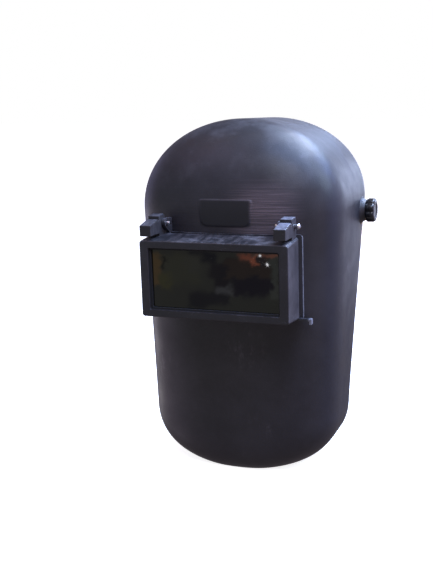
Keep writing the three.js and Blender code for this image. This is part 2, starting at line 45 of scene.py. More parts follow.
FACE_LINE = -0.099163           # y of the shell's foremost line
SHELL_HEIGHT = 0.303
SHELL_WIDTH = 0.180
JAW_WIDTH = 0.169
CROWN_DEPTH = 0.132             # front to back, at the crown
FRONT_DEPTH = 0.0525            # from the face line back to the widest line
DOME_RISE = 0.077
JAW_RISE = 0.0505
DOME_FOOT = SHELL_HEIGHT - DOME_RISE
CROWN_FALL = 0.0044             # the crown drops this much towards its rear edge
CROWN_FRONT = 0.016             # where that drop begins
WALL = 0.003
DOME_ROUNDING = 2.07            # powers of the curves that close the outline; 2 is an ellipse
JAW_ROUNDING = 2.42
CHIN_ROUNDING = 4.3
SQUARENESS = 0.87               # how much squarer than an ellipse the widest level section is
SIDE_BOW = 0.312                # half length of the long ellipse that each side follows

# The rear edge, as shares of the height and of the crown's depth
REAR_EDGE = [(0.00, 0.615), (0.17, 0.625), (0.40, 0.745), (0.60, 0.880),
             (0.69, 0.945), (0.76, 0.990), (0.84, 1.000), (1.00, 0.975)]


def falloff(share, power):
    """Runs from 1 to 0 along a rounded shoulder while the share runs from 0 to 1."""
    share = min(1.0, max(0.0, share))
    return (1 - share ** power) ** (1 / power)


def rear_edge_curve():
    """A smooth curve through the rear edge's points."""
    rows = [np.array((share, depth)) for share, depth in REAR_EDGE]
    rows = [rows[0]] + rows + [rows[-1]]
    points = []
    for i in range(1, len(rows) - 2):
        before, here, after, beyond = rows[i - 1:i + 3]
        for t in np.linspace(0, 1, 16, endpoint=False):
            points.append(0.5 * (2 * here + (after - before) * t
                                 + (2 * before - 5 * here + 4 * after - beyond) * t ** 2
                                 + (3 * here - before - 3 * after + beyond) * t ** 3))
    points.append(rows[-2])
    return np.array(points)


REAR_CURVE = rear_edge_curve()


def rear_depth(z):
    return CROWN_DEPTH * np.interp(z / SHELL_HEIGHT, REAR_CURVE[:, 0], REAR_CURVE[:, 1])


def level_section(z):
    """Half width, front depth, squareness and dome share of the level section at height z."""
    cheek = min(1.0, max(0.0, (z - JAW_RISE) / (DOME_FOOT - JAW_RISE)))
    dome = (z - DOME_FOOT) / DOME_RISE
    jaw = (JAW_RISE - z) / (JAW_RISE * 1.1)
    width_left = falloff(dome, DOME_ROUNDING) * falloff(jaw, JAW_ROUNDING)
    half = (JAW_WIDTH + (SHELL_WIDTH - JAW_WIDTH) * cheek) / 2 * width_left
    depth = FRONT_DEPTH * falloff(dome, 2) * falloff(jaw, CHIN_ROUNDING)
    return half, depth, 2 + SQUARENESS * width_left, max(0.0, dome)


def side_half_width(half, depth_back):
    return half * math.sqrt(1 - ((depth_back - FRONT_DEPTH) / SIDE_BOW) ** 2)


# Column places: shares of the half front, close together at the edge of the brow pad,
# then even steps back along the side
front_run = np.concatenate([np.arange(0, 18, 2.2), np.arange(18, 27, 0.6),
                            np.arange(27, 50, 2.0), np.arange(50, 120.1, 2.0)]) / 120
side_run = np.linspace(0, 1, 17)[1:]


def crown_fall(depth_back, dome):
    """How far a point of the dome is lowered towards the rear edge."""
    return CROWN_FALL * np.clip((depth_back - CROWN_FRONT) / (CROWN_DEPTH - CROWN_FRONT), 0, 1) * dome


def half_row(z):
    """Points of one side of a level section, from the middle of the face to the rear edge."""
    half, depth, power, dome = level_section(z)
    angle = np.linspace(math.pi / 2, 0, 400)
    across = half * np.abs(np.cos(angle)) ** (2 / power)
    forward = FRONT_DEPTH - depth * np.abs(np.sin(angle)) ** (2 / power)
    across[0] = 0.0
    run = np.concatenate([[0], np.cumsum(np.hypot(np.diff(across), np.diff(forward)))])
    if run[-1] < 1e-6:
        front = [(0.0, FRONT_DEPTH)] * len(front_run)
    else:
        front = [(np.interp(t * run[-1], run, across), np.interp(t * run[-1], run, forward))
                 for t in front_run]
    back = rear_depth(z)
    for _ in range(3):
        back = rear_depth(z - crown_fall(back, dome))
    side = [(side_half_width(half, y), y) for y in FRONT_DEPTH + (back - FRONT_DEPTH) * side_run]
    return [(x, y + FACE_LINE, z - crown_fall(y, dome)) for x, y in front + side]


# Row heights: wide steps up the face, and fine ones over the brow, where the ridges are
BROW_LOW, BROW_HIGH = 0.204, 0.266
dome_start = math.asin((BROW_HIGH + 0.0004 - DOME_FOOT) / DOME_RISE)
heights = np.concatenate([
    JAW_RISE * (1 - np.cos(np.linspace(0, math.pi / 2, 30, endpoint=False))),
    np.arange(JAW_RISE, BROW_LOW, 0.005),
    np.arange(BROW_LOW, BROW_HIGH, 0.00056),
    DOME_FOOT + DOME_RISE * np.sin(np.linspace(dome_start, math.pi / 2, 34)),
])

outer = []
for z in heights:
    row = half_row(z)
    outer.append([(-x, y, zz) for x, y, zz in row[:0:-1]] + row)
outer = np.array(outer)
rows, columns = outer.shape[:2]
middle = columns // 2

# Which way the skin faces, from its neighbours along each row and up each column
along = np.zeros_like(outer)
along[:, 1:-1] = outer[:, 2:] - outer[:, :-2]
along[:, 0] = outer[:, 1] - outer[:, 0]
along[:, -1] = outer[:, -1] - outer[:, -2]
up = np.zeros_like(outer)
up[1:-1] = outer[2:] - outer[:-2]
up[0] = outer[1] - outer[0]
up[-1] = outer[-1] - outer[-2]
normal = np.cross(along, up)
normal[-1] = (0, CROWN_FALL / (CROWN_DEPTH - CROWN_FRONT), 1)
normal /= np.linalg.norm(normal, axis=2, keepdims=True)

# The bare brow pad stands 0.6 mm proud. Fine level ridges, left by the mould's cutter, run
# across the brow on both sides of it.
PAD_BOTTOM, PAD_TOP = 0.216, 0.238
PAD_RISE = 0.0006
RIDGE_PITCH, RIDGE_RISE = 0.0026, 0.00011


def ease(t):
    """A soft step from 0 to 1."""
    t = np.clip(t, 0, 1)
    return t * t * (3 - 2 * t)


x, z = outer[:, :, 0], outer[:, :, 2]
on_face = outer[:, :, 1] < FACE_LINE + FRONT_DEPTH
pad_half = 0.0210 + 0.0030 * np.clip((z - PAD_BOTTOM) / (PAD_TOP - PAD_BOTTOM), 0, 1)
pad_middle = (PAD_BOTTOM + PAD_TOP) / 2
corner = np.where(z < pad_middle, 0.0055, 0.0030)
dx = np.abs(x) - pad_half + corner
dz = np.abs(z - pad_middle) - (PAD_TOP - PAD_BOTTOM) / 2 + corner
pad_edge = (np.hypot(np.maximum(dx, 0), np.maximum(dz, 0))
            + np.minimum(np.maximum(dx, dz), 0) - corner)
pad_lift = PAD_RISE * ease(0.5 - pad_edge / 0.0011)
ridge_wander = (0.35 * np.sin(z * 411 + 1.3) + 0.5 * np.sin(z * 187)
                + 0.15 * np.sin(x * 60 + z * 230))
ridge_run = z / RIDGE_PITCH * 2 * math.pi + ridge_wander * 2.4
ridge_strength = 0.55 + 0.45 * np.sin(z * 640 + 0.8) * np.sin(z * 233)
ridge_fade = (ease((0.0665 - np.abs(x)) / 0.020) * ease((z - 0.206) / 0.006)
              * ease((0.257 - z) / 0.020) * ease(pad_edge / 0.0015)
              * (0.10 + 0.28 * ease((x + 0.01) / 0.03)))
ridges = RIDGE_RISE * ridge_strength * np.sin(ridge_run) * ridge_fade
lift = np.where(on_face, pad_lift + ridges, 0)
skin = outer + normal * lift[:, :, None]
lining = outer - normal * WALL

# The lower rim is cut flat, as wide as the wall
rim_in = outer[0].copy()
level = normal[0] * (1, 1, 0)
level /= np.linalg.norm(level, axis=1, keepdims=True)
rim_in = rim_in - level * WALL
rim_top = rim_in.copy()
rim_top[:, 2] = lining[0, :, 2]

shell_bm = bmesh.new()


def vertex_row(bm, points):
    return [bm.verts.new(tuple(p)) for p in points]


def bridge(bm, first, second, flip=False):
    """Quads between two rows of vertices, leaving out corners that coincide."""
    for i in range(len(first) - 1):
        corners = [first[i], first[i + 1], second[i + 1], second[i]]
        loop = [v for j, v in enumerate(corners) if v is not corners[j - 1]]
        if len(set(loop)) < 3:
            continue
        if flip:
            loop.reverse()
        bm.faces.new(loop)


def sheet_rows(points):
    """Vertices of a whole sheet; the last row, along the crown's middle, is folded onto itself."""
    made = [vertex_row(shell_bm, row) for row in points[:-1]]
    crown_line = vertex_row(shell_bm, points[-1][middle:])
    made.append(crown_line[:0:-1] + crown_line)
    return made


def as_piece(name, bm):
    """Turns finished mesh work into a piece in the scene."""
    bmesh.ops.recalc_face_normals(bm, faces=bm.faces)
    mesh = bpy.data.meshes.new(name)
    bm.to_mesh(mesh)
    bm.free()
    piece = bpy.data.objects.new(name, mesh)
    bpy.context.scene.collection.objects.link(piece)
    return piece


skin_rows = sheet_rows(skin)
lining_rows = sheet_rows(lining)
rim_in_row = vertex_row(shell_bm, rim_in)
rim_top_row = vertex_row(shell_bm, rim_top)
for r in range(rows - 1):
    bridge(shell_bm, skin_rows[r], skin_rows[r + 1])
    bridge(shell_bm, lining_rows[r], lining_rows[r + 1], flip=True)
bridge(shell_bm, rim_in_row, skin_rows[0])
bridge(shell_bm, rim_top_row, rim_in_row)
bridge(shell_bm, lining_rows[0], rim_top_row)
for edge_column, flip in ((0, True), (columns - 1, False)):
    outside = [row[edge_column] for row in skin_rows]
    inside = [row[edge_column] for row in lining_rows]
    bridge(shell_bm, outside, inside, flip=flip)
    ring = [rim_in_row[edge_column], skin_rows[0][edge_column],
            lining_rows[0][edge_column], rim_top_row[edge_column]]
    if flip:
        ring.reverse()
    shell_bm.faces.new(ring)

# The rim's edges are marked, so that only they are rounded
rim_weight = shell_bm.edges.layers.float.new("bevel_weight_edge")
rim_rows = [skin_rows[0], rim_in_row]
rim_rows += [[row[end] for row in sheet] for sheet in (skin_rows, lining_rows) for end in (0, -1)]
for row in rim_rows:
    for a, b in zip(row, row[1:]):
        edge = shell_bm.edges.get((a, b))
        if edge:
            edge[rim_weight] = 1.0
shell_piece = as_piece("shell_moulding", shell_bm)


def settle(piece):
    """Applies a piece's modifiers, so that its mesh is final."""
    bpy.context.view_layer.update()
    graph = bpy.context.evaluated_depsgraph_get()
    finished = bpy.data.meshes.new_from_object(piece.evaluated_get(graph))
    piece.modifiers.clear()
    piece.data = finished
    finished.name = piece.name


def round_edges(piece, width, segments=3, angle=30, by_weight=False):
    """Rounds the edges sharper than an angle, or only the marked ones."""
    tool = piece.modifiers.new("rounded_edges", "BEVEL")
    tool.width = width
    tool.segments = segments
    tool.limit_method = "WEIGHT" if by_weight else "ANGLE"
    tool.angle_limit = math.radians(angle)
    tool.use_clamp_overlap = True
    settle(piece)


def shade(piece, angle=32, flat_faces=False):
    """Smooth shading up to an angle. Large flat faces can be kept flat up to their edges."""
    piece.data.shade_smooth()
    piece.data.set_sharp_from_angle(angle=math.radians(angle))
    if flat_faces:
        tool = piece.modifiers.new("flat_faces", "WEIGHTED_NORMAL")
        tool.mode = "FACE_AREA"
        tool.weight = 100
        tool.keep_sharp = True
        settle(piece)


round_edges(shell_piece, 0.0011, 3, by_weight=True)


def skinned(name, bm, rings, joined=False):
    """A skin over rings of vertices, closed at its ends or, when joined, onto itself."""
    pairs = list(zip(rings, rings[1:])) + ([(rings[-1], rings[0])] if joined else [])
    for low, high in pairs:
        for i in range(len(low)):
            j = (i + 1) % len(low)
            bm.faces.new([low[i], low[j], high[j], high[i]])
    if not joined:
        bm.faces.new(rings[0])
        bm.faces.new(rings[-1][::-1])
    return as_piece(name, bm)


def lathe(name, profile, x_centre, side, y, z, sides=64, lobe=None):
    """A turned form about a line along X: profile rows are distance out along side, and radius."""
    bm = bmesh.new()
    rings = []
    for out, radius in profile:
        ring = []
        for i in range(sides):
            turn = 2 * math.pi * i / sides
            r = lobe(radius, turn) if lobe else radius
            place = (x_centre + side * out, y + r * math.cos(turn), z + r * math.sin(turn))
            ring.append(bm.verts.new(place))
        rings.append(ring)
    return skinned(name, bm, rings)


def combine(piece, tool_piece, operation):
    """Fuses a second form to a piece, or cuts it away, and drops the second form."""
    step = piece.modifiers.new("combine", "BOOLEAN")
    step.operation = operation
    step.solver = "MANIFOLD"
    step.object = tool_piece
    settle(piece)
    bpy.data.objects.remove(tool_piece)


# Round bosses carry the headgear's studs, with one straight hole through both
PIVOT_Z = 0.216
PIVOT_DEPTH = float(rear_depth(PIVOT_Z)) - 0.013
PIVOT_Y = PIVOT_DEPTH + FACE_LINE
SIDE_AT_PIVOT = side_half_width(level_section(PIVOT_Z)[0], PIVOT_DEPTH)
BOSS_RISE = 0.0050
BOSS_FACE = SIDE_AT_PIVOT + BOSS_RISE
STUD_HOLE_RADIUS = 0.0043
BOSS_PROFILE = [(-0.0035, 0.0132), (-0.0006, 0.0130), (0.0001, 0.0125), (0.0005, 0.0118),
                (0.0012, 0.0110), (0.0022, 0.0101), (0.0034, 0.0095), (0.0042, 0.0092),
                (0.0046, 0.0090), (0.00485, 0.00875), (BOSS_RISE, 0.0083), (BOSS_RISE, 0.0052)]
for side in (-1, 1):
    boss = lathe("boss_form", BOSS_PROFILE, side * SIDE_AT_PIVOT, side, PIVOT_Y, PIVOT_Z, 72)
    combine(shell_piece, boss, "UNION")
stud_hole = lathe("hole_form", [(-0.12, STUD_HOLE_RADIUS), (0.12, STUD_HOLE_RADIUS)], 0, 1,
                  PIVOT_Y, PIVOT_Z, 48)
combine(shell_piece, stud_hole, "DIFFERENCE")

# The window, cut straight through the face
WINDOW_HALF = 0.0540
WINDOW_BOTTOM, WINDOW_TOP = 0.1535, 0.1967


def rounded_outline(half_width, low, high, radius, steps=6):
    """Corner points (x, z) of a rounded rectangle, anticlockwise seen from the front."""
    points = []
    side, bottom, top = half_width - radius, low + radius, high - radius
    for cx, cz, start in ((side, bottom, -90), (side, top, 0), (-side, top, 90), (-side, bottom, 180)):
        for i in range(steps + 1):
            turn = math.radians(start + 90 * i / steps)
            points.append((cx + radius * math.cos(turn), cz + radius * math.sin(turn)))
    return points


def loft(name, rings, joined=False):
    """A skin through rows of points, all with the same number of points."""
    bm = bmesh.new()
    return skinned(name, bm, [vertex_row(bm, ring) for ring in rings], joined)


window_outline = rounded_outline(WINDOW_HALF, WINDOW_BOTTOM, WINDOW_TOP, 0.005)
window_form = loft("window_form", [[(x, y, z) for x, z in window_outline] for y in (-0.13, -0.05)])
combine(shell_piece, window_form, "DIFFERENCE")
shade(shell_piece, 38)


# The plastic itself: nearly black with a violet cast, satin and finely grained all over,
# with dust where it can lie, faint handling scuffs and slightly polished edges.

class Paint:
    """The nodes of one material. Each method adds a node and hands back its output."""

    def __init__(self, name):
        self.material = bpy.data.materials.new(name)
        self.material.use_nodes = True
        self.tree = self.material.node_tree
        self.shader = self.tree.nodes["Principled BSDF"]
        self.place = self.tree.nodes.new("ShaderNodeTexCoord").outputs["Object"]

    def join(self, source, target):
        """Links an output to an input, or sets a plain value there."""
        if hasattr(source, "is_output"):
            self.tree.links.new(source, target)
        else:
            target.default_value = source

    def noise(self, scale, detail=3.0, roughness=0.5, stretch=(1, 1, 1), turn=(0, 0, 0)):
        mapping = self.tree.nodes.new("ShaderNodeMapping")
        mapping.inputs["Scale"].default_value = stretch
        mapping.inputs["Rotation"].default_value = turn
        self.join(self.place, mapping.inputs["Vector"])
        node = self.tree.nodes.new("ShaderNodeTexNoise")
        node.inputs["Scale"].default_value = scale
        node.inputs["Detail"].default_value = detail
        node.inputs["Roughness"].default_value = roughness
        self.join(mapping.outputs["Vector"], node.inputs["Vector"])
        return node.outputs["Fac"]

    def span(self, value, low, high, to_low=0.0, to_high=1.0):
        """A soft step from to_low to to_high while the value runs from low to high."""
        node = self.tree.nodes.new("ShaderNodeMapRange")
        node.interpolation_type = "SMOOTHSTEP"
        self.join(value, node.inputs["Value"])
        ends = {"From Min": low, "From Max": high, "To Min": to_low, "To Max": to_high}
        for key, number in ends.items():
            node.inputs[key].default_value = number
        return node.outputs["Result"]

    def reckon(self, operation, a, b=0.0):
        node = self.tree.nodes.new("ShaderNodeMath")
        node.operation = operation
        self.join(a, node.inputs[0])
        self.join(b, node.inputs[1])
        return node.outputs[0]

    def times(self, first, *others):
        for other in others:
            first = self.reckon("MULTIPLY", first, other)
        return first

    def plus(self, a, b):
        return self.reckon("ADD", a, b)

    def less(self, a, b):
        return self.reckon("SUBTRACT", a, b)

    def larger(self, a, b):
        return self.reckon("MAXIMUM", a, b)

    def size_of(self, a):
        return self.reckon("ABSOLUTE", a)

    def blend(self, share, a, b):
        """Colour a, with a share of colour b over it."""
        node = self.tree.nodes.new("ShaderNodeMix")
        node.data_type = "RGBA"
        self.join(share, node.inputs["Factor"])
        colour_a, colour_b = [socket for socket in node.inputs if socket.type == "RGBA"]
        self.join(a, colour_a)
        self.join(b, colour_b)
        return next(socket for socket in node.outputs if socket.type == "RGBA")

    def part_of(self, vector, which):
        split = self.tree.nodes.new("ShaderNodeSeparateXYZ")
        self.join(vector, split.inputs[0])
        return split.outputs[which]

    def facing(self, which):
        geometry = self.tree.nodes.new("ShaderNodeNewGeometry")
        return self.part_of(geometry.outputs["Normal"], which)

    def axis(self, which):
        return self.part_of(self.place, which)

    def upward(self, low=0.0, high=1.0):
        return self.span(self.facing("Z"), low, high)

    def distance(self, place):
        node = self.tree.nodes.new("ShaderNodeVectorMath")
        node.operation = "DISTANCE"
        self.join(self.place, node.inputs[0])
        node.inputs[1].default_value = place
        return node.outputs["Value"]

    def edges(self, low, high):
        geometry = self.tree.nodes.new("ShaderNodeNewGeometry")
        return self.span(geometry.outputs["Pointiness"], low, high)

    def relief(self, height, depth, strength=1.0, under=None):
        node = self.tree.nodes.new("ShaderNodeBump")
        node.inputs["Strength"].default_value = strength
        node.inputs["Distance"].default_value = depth
        self.join(height, node.inputs["Height"])
        if under is not None:
            self.join(under, node.inputs["Normal"])
        return node.outputs["Normal"]

    def finish(self, colour, roughness, relief=None, **values):
        self.join(colour, self.shader.inputs["Base Color"])
        self.join(roughness, self.shader.inputs["Roughness"])
        if relief is not None:
            self.join(relief, self.shader.inputs["Normal"])
        for key, value in values.items():
            self.shader.inputs[key.replace("_", " ")].default_value = value
        return self.material


def worn_black(name, dark, light, dust_colour, dust, roughness, grain_scale, grain_depth,
               dust_scale=38, edge_wear=0.0, extra=None):
    """Moulded black plastic: mottled tone, fine grain, settled dust, specks and rubbed places."""
    paint = Paint(name)
    tone = paint.blend(paint.span(paint.noise(14, 9, 0.72), 0.36, 0.66), dark, light)
    cloud = paint.span(paint.noise(dust_scale, 8, 0.65), 0.46, 0.72)
    speck = paint.span(paint.noise(620, 2), 0.64, 0.74)
    rub = paint.span(paint.noise(46, 7, 0.7), 0.62, 0.78)
    settled = paint.times(cloud, paint.upward(-0.1, 0.9))
    settled = paint.plus(settled, paint.times(speck, 0.22))
    settled = paint.plus(settled, paint.times(rub, 0.25))
    if edge_wear:
        settled = paint.plus(settled, paint.times(paint.edges(0.52, 0.60), edge_wear))
    colour = paint.blend(paint.times(settled, dust), tone, dust_colour)
    rough = paint.span(paint.noise(60, 4), 0.3, 0.7, roughness - 0.04, roughness + 0.05)
    rough = paint.plus(rough, paint.times(settled, 0.10))
    if extra:
        colour, rough = extra(paint, colour, rough)
    grain = paint.relief(paint.noise(grain_scale, 3, 0.6), grain_depth, 0.5)
    waves = paint.relief(paint.noise(22, 2), 0.0006, 0.35, under=grain)
    return paint.finish(colour, rough, waves)


# Places of the larger scuffs, how far they reach and how strong they are
SCUFFS = [((-0.048, -0.075, 0.262), 0.011, 0.50), ((-0.036, -0.080, 0.272), 0.009, 0.40),
          ((0.014, -0.099, 0.112), 0.026, 0.16), ((0.087, -0.040, 0.176), 0.012, 0.40),
          ((0.086, -0.045, 0.150), 0.010, 0.25), ((-0.070, -0.085, 0.090), 0.022, 0.18),
          ((0.030, -0.096, 0.050), 0.020, 0.14), ((0.055, -0.070, 0.272), 0.014, 0.18)]


def shell_wear(paint, colour, rough):
    """Level rubbed streaks over the brow, most at +X, a darker and duller pad, and scuffs."""
    across, height = paint.axis("X"), paint.axis("Z")
    half = paint.size_of(across)
    on_pad = paint.times(paint.span(half, 0.0195, 0.0235, 1, 0),
                         paint.span(height, PAD_BOTTOM - 0.0010, PAD_BOTTOM + 0.0012),
                         paint.span(height, PAD_TOP - 0.0018, PAD_TOP + 0.0010, 1, 0),
                         paint.span(paint.axis("Y"), FACE_LINE + 0.010, FACE_LINE + 0.020, 1, 0))
    brow = paint.times(paint.span(height, 0.200, 0.212), paint.span(height, 0.230, 0.262, 1, 0),
                       paint.span(half, 0.042, 0.070, 1, 0),
                       paint.span(across, -0.006, 0.036, 0.05, 1.0))
    fine_lines = paint.noise(84, 6, 0.7, stretch=(0.20, 0.20, 11))
    streak = paint.times(paint.span(fine_lines, 0.42, 0.66, 0.30, 1.0), brow, paint.less(1.0, on_pad))
    colour = paint.blend(paint.times(streak, 0.70), colour, (0.250, 0.185, 0.205, 1))
    colour = paint.blend(paint.times(on_pad, 0.75), colour, (0.0085, 0.0085, 0.0105, 1))
    rough = paint.plus(rough, paint.times(streak, 0.08))
    for place, reach, share in SCUFFS:
        patchy = paint.span(paint.noise(150, 5, 0.7, stretch=(1, 1, 0.5)), 0.50, 0.66)
        smudge = paint.times(paint.span(paint.distance(place), 0, reach, 1, 0), patchy)
        colour = paint.blend(paint.times(smudge, share), colour, (0.22, 0.20, 0.24, 1))
    return colour, paint.plus(rough, paint.times(on_pad, 0.06))


shell_plastic = worn_black("shell_plastic", (0.0128, 0.0124, 0.0158, 1), (0.0215, 0.0205, 0.0260, 1),
                           (0.20, 0.19, 0.21, 1), dust=0.17, roughness=0.43, grain_scale=1100,
                           grain_depth=0.00016, edge_wear=0.6, extra=shell_wear)


def fit(piece, material, node, body):
    """Gives a piece its material, and puts it in its CAD node's place on a body."""
    piece.data.materials.clear()
    piece.data.materials.append(material)
    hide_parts(node)
    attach(piece, body)


fit(shell_piece, shell_plastic, "shell", "helmet")

# Fixed frame
# A moulded plastic frame, seated on the shell round its window. It carries the hinge lugs
# and the two lower corner tabs, and its rim reaches into the lens box.

BOX_FRONT = FACE_LINE - 0.0319
RIM_BACK = FACE_LINE - 0.0034
WINDOW_MIDDLE = 0.1755
ARM_TOP = 0.2200


def frame_wear_and_painted_light(paint, colour, rough):
    """Streaks rubbed along the top and down the sides, painted highlights on the arm tops, rim edge
    and tab tips, and painted shade in the glass recess.
    """
    depth, height = paint.axis("Y"), paint.axis("Z")
    across = paint.size_of(paint.axis("X"))
    sideways = paint.size_of(paint.facing("X"))
    side = paint.span(sideways, 0.7, 0.95)

    # Streaks and a dull bloom on the box
    along = paint.span(paint.noise(52, 6, 0.7, stretch=(4.5, 0.7, 1), turn=(0, 0, 0.5)), 0.44, 0.66)
    down = paint.span(paint.noise(90, 7, 0.75, stretch=(1, 4.5, 0.5)), 0.44, 0.70)
    rubbed = paint.plus(paint.times(along, paint.upward(0.6, 0.95)), paint.times(down, side))
    colour = paint.blend(paint.times(rubbed, 0.15), colour, (0.28, 0.245, 0.26, 1))
    dull = paint.times(side, paint.span(paint.noise(70, 6, 0.65), 0.35, 0.65, 0.4, 1))
    colour = paint.blend(paint.times(dull, 0.14), colour, (0.30, 0.275, 0.29, 1))

    # Painted highlight: the arms' top faces made pale and bluish, broken by noise, most at +X
    arm_top = paint.times(paint.upward(0.80, 0.93), paint.span(height, ARM_TOP - 0.0005, ARM_TOP))
    arm_highlight_share = paint.times(paint.span(paint.noise(240, 5, 0.65), 0.34, 0.62, 0.35, 1),
                       paint.span(paint.axis("X"), -0.02, 0.02, 0.25, 1))
    colour = paint.blend(paint.times(arm_top, arm_highlight_share, 0.55), colour, (0.30, 0.32, 0.40, 1))

    # Painted highlight along the rim's side edge and on the tab tips, which stand out beside the box
    rim = paint.times(paint.span(sideways, 0.6, 0.9), paint.span(across, 0.0639, 0.0642),
                      paint.span(depth, RIM_BACK, RIM_BACK + 0.0005))
    tip = paint.times(paint.span(across, 0.0690, 0.0715), paint.span(height, 0.1420, 0.1430, 1, 0))
    broken = paint.span(paint.noise(190, 4, 0.6), 0.3, 0.55, 0.5, 1)
    edge_highlight = paint.times(paint.larger(rim, tip), broken)
    colour = paint.blend(paint.times(edge_highlight, 0.60), colour, (0.28, 0.28, 0.33, 1))

    # Painted shade round the glass, in its recess, which is also made rougher
    from_middle = paint.size_of(paint.less(height, WINDOW_MIDDLE))
    recess = paint.times(paint.span(depth, BOX_FRONT + 0.0004, BOX_FRONT + 0.0010),
                         paint.span(depth, BOX_FRONT + 0.0050, BOX_FRONT + 0.0056, 1, 0),
                         paint.span(across, 0.0570, 0.0580, 1, 0),
                         paint.span(from_middle, 0.0264, 0.0272, 1, 0))
    colour = paint.blend(paint.times(recess, 0.85), colour, (0.008, 0.008, 0.009, 1))
    return colour, paint.plus(rough, paint.times(recess, 0.45))


frame_plastic = worn_black("frame_plastic", (0.0145, 0.0145, 0.0180, 1), (0.0220, 0.0218, 0.0275, 1),
                           (0.24, 0.23, 0.26, 1), dust=0.36, roughness=0.38, grain_scale=1500,
                           grain_depth=0.00008, dust_scale=55, extra=frame_wear_and_painted_light)


def dressed_node(node, name, width, segments=2, angle=28):
    """A copy of a CAD solid with its flat faces whole again and its edges rounded as moulded."""
    bm = bmesh.new()
    bm.from_mesh(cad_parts[node].data)
    bmesh.ops.remove_doubles(bm, verts=bm.verts, dist=2e-5)
    bmesh.ops.dissolve_limit(bm, angle_limit=math.radians(0.6), verts=bm.verts, edges=bm.edges)
    piece = as_piece(name, bm)
    round_edges(piece, width, segments, angle)
    shade(piece, 30, flat_faces=True)
    return piece


mount_piece = dressed_node("lens_mount", "fixed_frame", 0.00035, 2, 40)
fit(mount_piece, frame_plastic, "lens_mount", "helmet")

# Cover lens
# A clear plastic plate that drops into the fixed frame, and keeps grinding dust off the
# eyes while the box is up. Fine smears dull it a little.

clear = Paint("clear_plate")
smear = clear.span(clear.noise(30, 5), 0.3, 0.75, 0.03, 0.14)
clear_plate = clear.finish((0.86, 0.90, 0.88, 1), smear, Transmission_Weight=0.94, IOR=1.49)
cover_piece = dressed_node("cover_lens", "cover_plate", 0.0004)
fit(cover_piece, clear_plate, "cover_lens", "helmet")

# Lens box
# A deep box of black plastic, moulded in one with its two hinge arms and open at the back.
# Its front holds the filter glass, and it flips up on steel pins.

BOX_HALF = 0.064
BOX_LOW, BOX_HIGH = 0.1435, 0.2075
BOX_BACK = RIM_BACK
FLARE = 0.0022                          # the box is this much higher at its back, above and below
OPEN_X, OPEN_Z = 0.0075, 0.0062         # border beside the opening, and above and below it
LIP = 0.0015                            # how far the lip stands in front of the glass's edge
EDGE_RADIUS = 0.0011                    # of the front's outer edge


def box_ring(inset_x, inset_z, radius, y, flared=True):
    """An upright outline of the box, set in from its sides and from its top and bottom."""
    flare = FLARE * (y - BOX_FRONT) / (BOX_BACK - BOX_FRONT) if flared else 0
    low, high = BOX_LOW + inset_z - flare, BOX_HIGH - inset_z + flare
    return [(x, y, z) for x, z in rounded_outline(BOX_HALF - inset_x, low, high, radius, 7)]


def opening_ring(inset, radius, depth):
    return box_ring(OPEN_X + inset, OPEN_Z + inset, radius, BOX_FRONT + depth, flared=False)


# From the inside of the back edge, over the outside to the front, and in through the opening
box_rings = [box_ring(0.0026, 0.0026, 0.0013, BOX_BACK - 0.0003),
             box_ring(0.0023, 0.0023, 0.0014, BOX_BACK),
             box_ring(0.0004, 0.0004, 0.0022, BOX_BACK),
             box_ring(0, 0, 0.0025, BOX_BACK - 0.0004)]
for turn in np.linspace(0, math.pi / 2, 5):
    inset, back = EDGE_RADIUS * (1 - math.cos(turn)), EDGE_RADIUS * (1 - math.sin(turn))
    box_rings.append(box_ring(inset, inset, 0.0025 - inset / 2, BOX_FRONT + back))
box_rings += [opening_ring(-0.0006, 0.0020, 0), opening_ring(-0.00025, 0.0017, 0.00012),
              opening_ring(-0.00005, 0.0015, 0.0004), opening_ring(0, 0.00145, 0.0007),
              opening_ring(0, 0.00125, 0.0030), opening_ring(LIP - 0.0003, 0.0013, 0.0030),
              opening_ring(LIP, 0.0012, 0.0033), opening_ring(LIP, 0.0012, 0.0047),
              box_ring(0.0026, 0.0026, 0.0013, BOX_FRONT + 0.0047)]
box_piece = loft("lens_box_body", box_rings, joined=True)

PIN_Y = FACE_LINE - 0.0079
PIN_Z = 0.2190
PIN_BORE_RADIUS = 0.0019
ARM_IN, ARM_OUT = 0.0525, 0.0625

# An arm's nose climbs to a groove; behind that a cap stands over the pin, and a foot runs
# down to the box's top
nose, foot_front, heel = FACE_LINE - 0.0329, FACE_LINE - 0.0154, PIN_Y + 0.0040
groove_back, ramp_top, cap_top = PIN_Y - 0.0078, 0.2232, PIN_Z + 0.0072
ARM_OUTLINE = [(nose, 0.2110), (foot_front, 0.2110), (foot_front, 0.2062), (heel, 0.2075),
               (heel, cap_top - 0.0013), (heel - 0.0004, cap_top - 0.0004), (heel - 0.0013, cap_top),
               (groove_back, cap_top - 0.00065), (groove_back, ramp_top - 0.0013),
               (groove_back - 0.0013, ramp_top - 0.0013), (groove_back - 0.0013, ramp_top),
               (nose, ARM_TOP)]
for side in (-1, 1):
    arm = loft("arm_form", [[(side * x, y, z) for y, z in ARM_OUTLINE] for x in (ARM_IN, ARM_OUT)])
    round_edges(arm, 0.0006, 3, 32)
    combine(box_piece, arm, "UNION")
pin_bore = lathe("bore_form", [(-0.09, PIN_BORE_RADIUS), (0.09, PIN_BORE_RADIUS)], 0, 1,
                 PIN_Y, PIN_Z, 32)
combine(box_piece, pin_bore, "DIFFERENCE")
shade(box_piece, 30, flat_faces=True)
fit(box_piece, frame_plastic, "lens_box", "lens_flip")

# Filter glass
# The welding filter: nearly black green glass, polished flat, held between the box's front
# lip and the retainer behind it.

